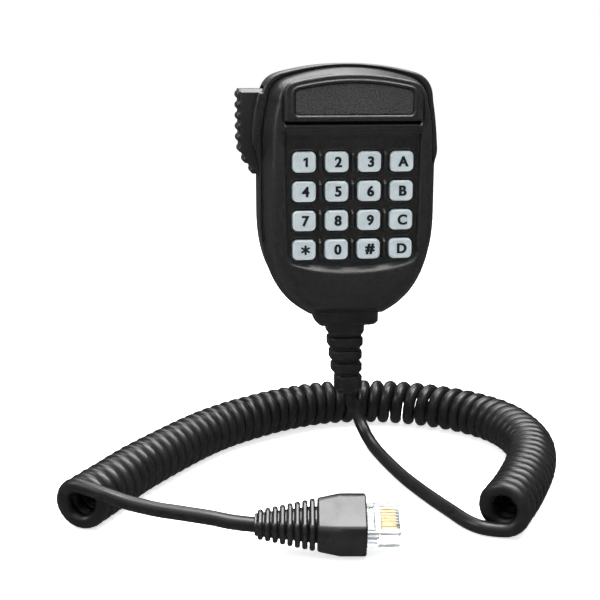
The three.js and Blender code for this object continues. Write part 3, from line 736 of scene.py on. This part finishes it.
# ---- the strain relief ----
COLLAR = {"top": -53.3, "end": -58.8, "half_x": 12.0, "half_y": 6.5, "x": 0.4}
RELIEF_RINGS = [
    {"half_x": 6.5, "half_y": 5.7, "high": -63.8, "low": -67.8, "x": 0.35},
    {"half_x": 6.0, "half_y": 5.4, "high": -68.8, "low": -72.8, "x": 0.6},
    {"half_x": 5.7, "half_y": 5.1, "high": -73.8, "low": -77.6, "x": 1.0},
    {"half_x": 5.1, "half_y": 4.7, "high": -78.7, "low": -84.2, "x": 1.7},
]


def strain_relief():
    """The flexible relief: a flat collar, a waisted neck and four stiff rings that step
    to the right and get narrower, with the cord coming out of the last."""
    grid = Grid((-13, -24.5, -86), (13.5, -9.5, -48.6), 0.14)
    y = grid.y - RELIEF_END[1]
    collar = rounded_rect(grid.x - COLLAR["x"], y, COLLAR["half_x"], COLLAR["half_y"], 4.4)
    collar = chamfer_meet(collar, COLLAR["end"] - grid.z, 1.0)
    collar = np.maximum(collar, grid.z - COLLAR["top"])
    slope = ((-12.4 - grid.x) + (-56.0 - grid.z)) * HALF_ROOT
    collar = round_meet(collar, slope, 0.5)
    plug = np.maximum(rounded_rect(grid.x, y, 4.5, 3.5, 2.0), between(grid.z, COLLAR["end"], -49.4))
    lower = np.clip((-61.5 - grid.z) / 2.2, 0, 1)
    neck = rounded_rect(grid.x - 0.3, y, 6.9, 5.8, 3.4) + 1.4 * lower
    neck = round_meet(neck, between(grid.z, -64.4, COLLAR["end"] + 1), 0.3)
    shape = union(collar, plug, neck)
    for ring in RELIEF_RINGS:
        side = rounded_rect(grid.x - ring["x"], y, ring["half_x"], ring["half_y"], 3.4)
        block = chamfer_meet(round_meet(side, grid.z - ring["high"], 0.5), ring["low"] - grid.z, 1.1)
        core = np.maximum(side + 1.5, between(grid.z, ring["low"] - 1.2, ring["high"] + 1.2))
        shape = soft_union(shape, union(block, core), 0.25)
    tip = np.sqrt((grid.x - RELIEF_END[0]) ** 2 + y ** 2) - 3.6
    tip = round_meet(tip, between(grid.z, RELIEF_END[2], -83), 0.5)
    return field_object("relief_moulding", grid, soft_union(shape, tip, 0.5))


# ---- the plug, in its own frame: +X from the cord to the nose, contacts up ----
PLUG_START = (-41.75, -110.2, -96.1)
PLUG_YAW = math.radians(-7.4)
PLUG_ROLL = math.radians(29)
HOUSING = {"width": 11.68, "height": 6.5, "start": 21.0, "end": 42.0}
BOOT_RINGS = 8
BOOT_RING_PITCH = 2.15
BOOT_BOX = {"start": 18.2, "end": 32.4}
CONTACT_COUNT = 8
CONTACT_PITCH = 1.02


def plug_frame():
    turn = Matrix.Rotation(PLUG_YAW, 3, "Z") @ Matrix.Rotation(PLUG_ROLL, 3, "X")
    return PLUG_START, [tuple(turn.col[axis]) for axis in range(3)]


def plug_boot():
    """The moulded boot: ribs that grow towards a glossy, flared box round the plug."""
    grid = Grid((-0.6, -8.6, -7.8), (33.2, 8.6, 7.8), 0.16)
    taper = np.clip(grid.x / 17.2, 0, 1)
    core = rounded_rect(grid.y, grid.z, 3.0, 2.7, 2.0) - 2.0 * taper
    shape = np.maximum(core, between(grid.x, 0, 19))
    for index in range(BOOT_RINGS):
        grow = index / (BOOT_RINGS - 1)
        start = 0.9 + index * BOOT_RING_PITCH
        rib = rounded_rect(grid.y, grid.z, 4.1 + 2.4 * grow, 3.6 + 1.9 * grow, 2.6)
        rib = round_meet(rib, between(grid.x, start, start + 1.65), 0.75)
        shape = soft_union(shape, rib, 0.15)
    flare = np.clip((grid.x - BOOT_BOX["start"]) / 6.5, 0, 1)
    box = rounded_rect(grid.y, grid.z, 6.9 + 1.0 * flare, 5.5 + 0.9 * flare, 2.8)
    box = round_meet(box, between(grid.x, BOOT_BOX["start"], BOOT_BOX["end"]), 0.6)
    shape = union(shape, box)
    socket = rounded_rect(grid.y, grid.z, HOUSING["width"] / 2 + 0.3, HOUSING["height"] / 2 + 0.3, 0.6)
    socket = np.maximum(socket, HOUSING["start"] - 0.3 - grid.x)
    latch_way = np.maximum(between(grid.y, -3.6, 3.6), between(grid.z, -7.9, -3))
    latch_way = np.maximum(latch_way, HOUSING["start"] + 2 - grid.x)
    shape = soft_cut(shape, union(socket, latch_way), 0.2)
    return field_object("boot_moulding", grid, shape, plug_frame())


def contact_y(index):
    return (index - (CONTACT_COUNT - 1) / 2) * CONTACT_PITCH


def plug_housing():
    """The clear body, with its contact slots, wire cavity and stepped nose."""
    grid = Grid((20.4, -6.4, -3.9), (42.6, 6.4, 3.9), 0.13)
    top = HOUSING["height"] / 2
    body = rounded_rect(grid.y, grid.z, HOUSING["width"] / 2, top, 0.45)
    body = round_meet(body, between(grid.x, HOUSING["start"], HOUSING["end"]), 0.3)
    slots = []
    for index in range(CONTACT_COUNT):
        slot = np.maximum(np.abs(grid.y - contact_y(index)) - 0.3, (top - 2.2) - grid.z)
        slots.append(np.maximum(slot, 36.4 - grid.x))
    window = rounded_box(grid, (33.6, 0, top), (1.1, 4.2, 0.5), 0.2)
    cavity = rounded_box(grid, (28.0, 0, 0), (8.1, 4.2, 0.6), 0.3)
    body = cut(body, union(*slots, window, cavity))
    return field_object("clear_plug_body", grid, body, plug_frame())


def wire_ribbon():
    """The eight insulated wires, side by side inside the clear body."""
    origin, axes = plug_frame()
    wires = []
    for index in range(CONTACT_COUNT):
        y = contact_y(index)
        bow = 0.12 * (-1) ** index
        line = np.array([(21.4, y * 0.94, 0), (24.5, y, bow * 0.5), (30, y, 0), (35.6, y, 0)])
        world = np.array(origin) + catmull(line, 8) @ np.array(axes)
        wires.append(curve_object(f"wire_{index}", world, 0.44, 3))
    return as_one_mesh("plug_wires", wires)


# ---- turned pieces on the back ----
def turned(name, profile, steps=96):
    """A solid turned about the Y axis, from (radius, y) points. They start and end on the
    axis, or else they close into a ring."""
    profile = np.array(profile)
    closed = profile[0][0] > 0
    angles = np.linspace(0, 2 * math.pi, steps, endpoint=False)
    places = []
    for radius, y in profile:
        for angle in angles:
            places.append((radius * math.cos(angle), y, radius * math.sin(angle)))
    faces = []
    count = len(profile)
    for ring in range(count if closed else count - 1):
        following = (ring + 1) % count
        for step in range(steps):
            beside = (step + 1) % steps
            here = ring * steps
            there = following * steps
            faces.append((here + step, here + beside, there + beside, there + step))
    obj = mesh_object(name, places, faces)
    clean = bmesh.new()
    clean.from_mesh(obj.data)
    bmesh.ops.remove_doubles(clean, verts=clean.verts, dist=1e-7)
    bmesh.ops.recalc_face_normals(clean, faces=clean.faces)
    clean.to_mesh(obj.data)
    clean.free()
    return obj


def corner(radius, y, size, turn):
    """Points round a quarter circle, for a soft edge on a turned profile."""
    spots = []
    for step in range(6):
        angle = math.radians(turn + step * 18)
        spots.append((radius + size * math.cos(angle), y + size * math.sin(angle)))
    return spots


def hanger_button():
    edge = HANGER["edge"]
    front = corner(HANGER["radius"] - edge, -HANGER["thick"] + edge, edge, -90)
    back = corner(HANGER["radius"] - edge, -edge, edge, 0)
    dish = [(5.2, 0.0), (4.9, -0.25), (2.6, -0.25), (2.3, -0.5), (2.2, -0.9), (0, -0.9)]
    return turned("hanger_disc", [(0, -HANGER["thick"]), *front, *back, *dish])


def hanger_collar():
    profile = [(2.1, -4.95), (5.6, -4.95), (5.45, -4.4), (5.1, -3.4), (5.0, -2.65), (2.1, -2.65)]
    return turned("hanger_neck", profile)


def screw_head():
    """A cross-recessed case screw at the origin, its head just under the rear face."""
    grid = Grid((-3.1, -24.4, -3.1), (3.1, -5, 3.1), 0.1)
    radius = np.sqrt(grid.x ** 2 + grid.z ** 2)
    face = REAR_Y - 0.3
    head = round_meet(radius - SCREW["head"], between(grid.y, REAR_Y - 1.65, face), 0.35)
    ribs = 0.12 * np.cos(grid.y * 2 * math.pi / 1.2)
    shank = np.maximum(radius - SCREW["shank"] - ribs, between(grid.y, -24, REAR_Y - 1.6))
    cross = rounded_rect(grid.x, grid.z, 1.5, 0.3, 0.15)
    cross = union(cross, rounded_rect(grid.x, grid.z, 0.3, 1.5, 0.15))
    recess = np.maximum(cross + (face - grid.y) * 0.25, (face - 0.8) - grid.y)
    return field_object("case_screw_shape", grid, cut(union(head, shank), recess))


# ---- camera and studio ----
CAMERA_PLACE = (-67.05, -407.68, 33.82)
CAMERA_YAW = 7.4
CAMERA_PITCH = 12.0
FOCAL_PER_SENSOR = 11 / 6
ROOM_LIGHT = 0.12
SUN_LIGHT = 0.9
FLOOR_GLOW = 0.72
FLOOR_HALF_M = 6.0
# name, place, target, size, power and, for an oblong one, the second size: metres and watts
AREA_LIGHTS = [
    ("top_light", (0.06, -0.06, 0.52), (0.03, -0.06, -0.04), 0.36, 10.5, 0.62),
    ("back_light", (-0.05, 0.45, 0.50), (-0.02, -0.06, -0.09), 0.50, 3.0, 0.35),
    ("strip_light", (0.05, -0.42, 0.46), (0, -0.03, 0), 0.50, 0.5, 0.12),
    ("front_light", (-0.45, -0.80, 0.50), (0, -0.03, -0.02), 0.60, 0.9),
    ("side_light", (-0.45, -0.10, 0.22), (0, -0.02, -0.02), 0.20, 0.9),
]


def make_camera():
    data = bpy.data.cameras.new("camera")
    data.sensor_width = 36
    data.lens = 36 * FOCAL_PER_SENSOR
    data.clip_start = 0.01
    camera = bpy.data.objects.new("camera", data)
    bpy.context.collection.objects.link(camera)
    camera.location = Vector(CAMERA_PLACE) * MM
    camera.rotation_euler = (math.radians(90 - CAMERA_PITCH), 0, math.radians(-CAMERA_YAW))
    bpy.context.scene.camera = camera


def area_light(name, place, target, size, power, size_y=None):
    data = bpy.data.lights.new(name, "AREA")
    data.energy = power
    data.shape = "RECTANGLE"
    data.size = size
    data.size_y = size_y or size
    light = bpy.data.objects.new(name, data)
    bpy.context.collection.objects.link(light)
    light.location = place
    aim = Vector(target) - Vector(place)
    light.rotation_euler = aim.to_track_quat("-Z", "Y").to_euler()


def make_world():
    """White paper to the camera and a dim room to everything else."""
    bpy.context.scene.view_settings.view_transform = "Standard"
    world = bpy.data.worlds.new("studio")
    bpy.context.scene.world = world
    world.use_nodes = True
    tree = world.node_tree
    room = tree.nodes["Background"]
    room.inputs["Color"].default_value = (1, 1, 1, 1)
    room.inputs["Strength"].default_value = ROOM_LIGHT
    paper = tree.nodes.new("ShaderNodeBackground")
    paper.inputs["Color"].default_value = (1, 1, 1, 1)
    seen = tree.nodes.new("ShaderNodeLightPath")
    mix = tree.nodes.new("ShaderNodeMixShader")
    tree.links.new(seen.outputs["Is Camera Ray"], mix.inputs["Fac"])
    tree.links.new(room.outputs["Background"], mix.inputs[1])
    tree.links.new(paper.outputs["Background"], mix.inputs[2])
    tree.links.new(mix.outputs["Shader"], tree.nodes["World Output"].inputs["Surface"])


def make_lights():
    for light in AREA_LIGHTS:
        area_light(*light)
    data = bpy.data.lights.new("overhead", "SUN")
    data.energy = SUN_LIGHT
    data.angle = math.radians(50)
    overhead = bpy.data.objects.new("overhead", data)
    bpy.context.collection.objects.link(overhead)
    overhead.rotation_euler = (math.radians(12), math.radians(-10), 0)


def make_floor():
    mesh = bpy.data.meshes.new("floor")
    size = FLOOR_HALF_M
    z = TABLE_Z * MM - 0.0001
    corners = [(-size, -size, z), (size, -size, z), (size, size, z), (-size, size, z)]
    mesh.from_pydata(corners, [], [(0, 1, 2, 3)])
    floor = bpy.data.objects.new("floor", mesh)
    bpy.context.collection.objects.link(floor)
    material, surface = principled("floor", (0.92, 0.92, 0.92), 0.9)
    surface.inputs["Emission Color"].default_value = (1, 1, 1, 1)
    surface.inputs["Emission Strength"].default_value = FLOOR_GLOW
    mesh.materials.append(material)
    floor.visible_glossy = False


# ---- materials ----
def principled(name, color, roughness, metallic=0.0):
    material = bpy.data.materials.new(name)
    material.use_nodes = True
    surface = material.node_tree.nodes["Principled BSDF"]
    surface.inputs["Base Color"].default_value = (*color, 1)
    surface.inputs["Roughness"].default_value = roughness
    surface.inputs["Metallic"].default_value = metallic
    return material, surface


def noise(material, scale, detail=2.0, stretch=(1, 1, 1)):
    """Noise in the object's own metres; scale is in cells to the metre."""
    tree = material.node_tree
    place = tree.nodes.new("ShaderNodeTexCoord")
    mapping = tree.nodes.new("ShaderNodeMapping")
    mapping.inputs["Scale"].default_value = stretch
    texture = tree.nodes.new("ShaderNodeTexNoise")
    texture.inputs["Scale"].default_value = scale
    texture.inputs["Detail"].default_value = detail
    tree.links.new(place.outputs["Object"], mapping.inputs["Vector"])
    tree.links.new(mapping.outputs["Vector"], texture.inputs["Vector"])
    return texture.outputs["Fac"]


def ranged(material, source, low, high):
    node = material.node_tree.nodes.new("ShaderNodeMapRange")
    node.inputs["From Min"].default_value = 0.3
    node.inputs["From Max"].default_value = 0.7
    node.inputs["To Min"].default_value = low
    node.inputs["To Max"].default_value = high
    material.node_tree.links.new(source, node.inputs["Value"])
    return node.outputs["Result"]


def tinted(material, source, dark, light):
    ramp = material.node_tree.nodes.new("ShaderNodeValToRGB")
    ramp.color_ramp.elements[0].position = 0.35
    ramp.color_ramp.elements[1].position = 0.65
    ramp.color_ramp.elements[0].color = (*dark, 1)
    ramp.color_ramp.elements[1].color = (*light, 1)
    material.node_tree.links.new(source, ramp.inputs["Fac"])
    return ramp.outputs["Color"]


def bumped(material, surface, source, strength, distance_mm):
    bump = material.node_tree.nodes.new("ShaderNodeBump")
    bump.inputs["Strength"].default_value = strength
    bump.inputs["Distance"].default_value = distance_mm * MM
    material.node_tree.links.new(source, bump.inputs["Height"])
    material.node_tree.links.new(bump.outputs["Normal"], surface.inputs["Normal"])


def moulded(
    name, color, roughness, grain=3200, depth=0.03, strength=0.5, spread=0.08, shine=0.5,
    mottle=240, contrast=1.0,
):
    """Moulded plastic: a spark-eroded grain, with slow changes of gloss, and a mottled colour."""
    material, surface = principled(name, color, roughness)
    surface.inputs["Specular IOR Level"].default_value = shine
    links = material.node_tree.links
    slow = noise(material, 90, 3)
    links.new(ranged(material, slow, roughness - spread, roughness + spread), surface.inputs["Roughness"])
    light = tuple(value * (1 + 0.25 * contrast) for value in color)
    dark = tuple(value * (1 - 0.15 * contrast) for value in color)
    links.new(tinted(material, noise(material, mottle, 4), dark, light), surface.inputs["Base Color"])
    bumped(material, surface, noise(material, grain, 2), strength, depth)
    return material


def clear_plastic():
    material, surface = principled("clear_plastic", (0.52, 0.545, 0.56), 0.08)
    surface.inputs["Transmission Weight"].default_value = 0.88
    surface.inputs["IOR"].default_value = 1.45
    links = material.node_tree.links
    links.new(ranged(material, noise(material, 300, 2), 0.03, 0.12), surface.inputs["Roughness"])
    bumped(material, surface, noise(material, 500, 1), 0.15, 0.02)
    return material


def silicone():
    material, surface = principled("key_silicone", (0.28, 0.32, 0.335), 0.5)
    surface.inputs["Subsurface Weight"].default_value = 0.15
    surface.inputs["Subsurface Scale"].default_value = 0.0006
    surface.inputs["Subsurface Radius"].default_value = (1.0, 1.0, 1.0)
    links = material.node_tree.links
    links.new(ranged(material, noise(material, 400, 3), 0.42, 0.56), surface.inputs["Roughness"])
    tint = tinted(material, noise(material, 260, 3), (0.26, 0.30, 0.315), (0.30, 0.34, 0.355))
    links.new(tint, surface.inputs["Base Color"])
    bumped(material, surface, noise(material, 5000, 2), 0.3, 0.01)
    return material


def drawn_metal(name, color, roughness):
    """Metal with fine streaks along its length and slow tarnish."""
    material, surface = principled(name, color, roughness, metallic=1.0)
    links = material.node_tree.links
    streaks = noise(material, 1500, 3, stretch=(1, 0.08, 1))
    links.new(ranged(material, streaks, roughness - 0.08, roughness + 0.12), surface.inputs["Roughness"])
    dull = tuple(value * 0.75 for value in color)
    links.new(tinted(material, noise(material, 350, 3), dull, color), surface.inputs["Base Color"])
    bumped(material, surface, streaks, 0.25, 0.01)
    return material


def make_materials():
    return {
        "case": moulded(
            "case_black", (0.007, 0.007, 0.007), 0.40, 2200, 0.10, 0.9,
            shine=0.5, mottle=1600, contrast=3.0,
        ),
        "plate": moulded(
            "plate_grain", (0.015, 0.015, 0.016), 0.44, 1700, 0.35, 1.0,
            shine=0.7, mottle=1700, contrast=6.0,
        ),
        "lever": moulded("lever_black", (0.008, 0.008, 0.008), 0.38, 2400, 0.03, shine=0.5),
        "relief": moulded("relief_black", (0.007, 0.007, 0.0075), 0.40, 1800, 0.015, shine=0.45),
        "cord": moulded("cord_black", (0.006, 0.006, 0.006), 0.34, 900, 0.01, 0.3, shine=0.35),
        "boot": moulded("boot_gloss", (0.008, 0.008, 0.0085), 0.24, 500, 0.012, 0.25, 0.08, 0.42),
        "key": silicone(),
        "ink": moulded("key_ink", (0.003, 0.004, 0.007), 0.6, 3000, 0.005, 0.2, shine=0.2),
        "clear": clear_plastic(),
        "steel": drawn_metal("zinc_steel", (0.52, 0.53, 0.54), 0.34),
        "gold": drawn_metal("contact_gold", (0.32, 0.19, 0.07), 0.36),
        "wires": moulded("wire_white", (0.72, 0.70, 0.64), 0.4, 900, 0.01, 0.2),
        "nylon": moulded("nylon", (0.66, 0.63, 0.54), 0.45, 1500, 0.01, 0.3),
        "mat": moulded("mat_silicone", (0.25, 0.27, 0.29), 0.7, 2000, 0.02),
        "film": moulded("dome_film", (0.45, 0.48, 0.50), 0.3, 600, 0.01, 0.2),
        "board": moulded("solder_mask", (0.015, 0.10, 0.035), 0.32, 700, 0.02, 0.4),
        "chip": moulded("moulded_epoxy", (0.016, 0.016, 0.018), 0.5, 2400, 0.02),
    }


NODE_FINISHES = {
    "steel": [
        "ptt_pivot_pin", "hanger_screw", "cord_clamp", "board_screw_1", "board_screw_2",
        "microphone_capsule",
    ],
    "gold": [f"plug_contact_{index + 1}" for index in range(CONTACT_COUNT)],
    "clear": ["plug_latch"],
    "nylon": ["ptt_switch_plunger", "board_connector"],
    "wires": ["wire_harness"],
    "mat": ["keypad_mat"],
    "film": ["dome_sheet"],
    "board": ["keypad_board"],
    "chip": ["tone_encoder_chip", "ptt_switch"],
    "relief": ["capsule_holder"],
}


def finish_node(node, material):
    """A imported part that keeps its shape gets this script's material in all its slots."""
    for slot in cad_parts[node].material_slots:
        slot.material = MATERIALS[material]


def placed(piece, nodes, material, body=BODY):
    """Puts a finished piece on its body, in place of the nodes that it stands for."""
    if material:
        piece.data.materials.append(MATERIALS[material])
    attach(piece, body)
    if nodes:
        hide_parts(*nodes)
    return piece


# ---- the build ----
make_camera()
make_world()
make_lights()
make_floor()
MATERIALS = make_materials()

for finish, nodes in NODE_FINISHES.items():
    for node in nodes:
        finish_node(node, finish)

route = cord_points()
cord = curve_object("curly_cord", route, CORD_RADIUS)
placed(cord, ["cord_lead", "cord_coil", "cord_tail"], "cord")
boot = placed(plug_boot(), ["plug_boot"], "boot")
housing = placed(plug_housing(), ["plug_housing"], "clear")
wires = placed(wire_ribbon(), ["plug_wire_ribbon"], "wires")
relief = placed(strain_relief(), ["strain_relief"], "relief")
placed(front_shell(), ["front_case"], "case")
placed(rear_shell(), ["rear_case"], "case")
placed(name_plate(), ["name_plate"], "plate")
placed(talk_lever(), ["ptt_lever"], "lever", "ptt_lever_body")
placed(hanger_button(), ["hanger_button"], "case")
placed(hanger_collar(), ["hanger_collar"], "case")
screw = screw_head()
for index, (x, z) in enumerate(SCREW_PLACES):
    copy = bpy.data.objects.new(f"cross_screw_{index + 1}", screw.data.copy())
    bpy.context.collection.objects.link(copy)
    copy.data.transform(Matrix.Translation((x * MM, 0, z * MM)))
    placed(copy, [f"case_screw_{index + 1}"], "steel")
bpy.data.objects.remove(screw)
make_keys()
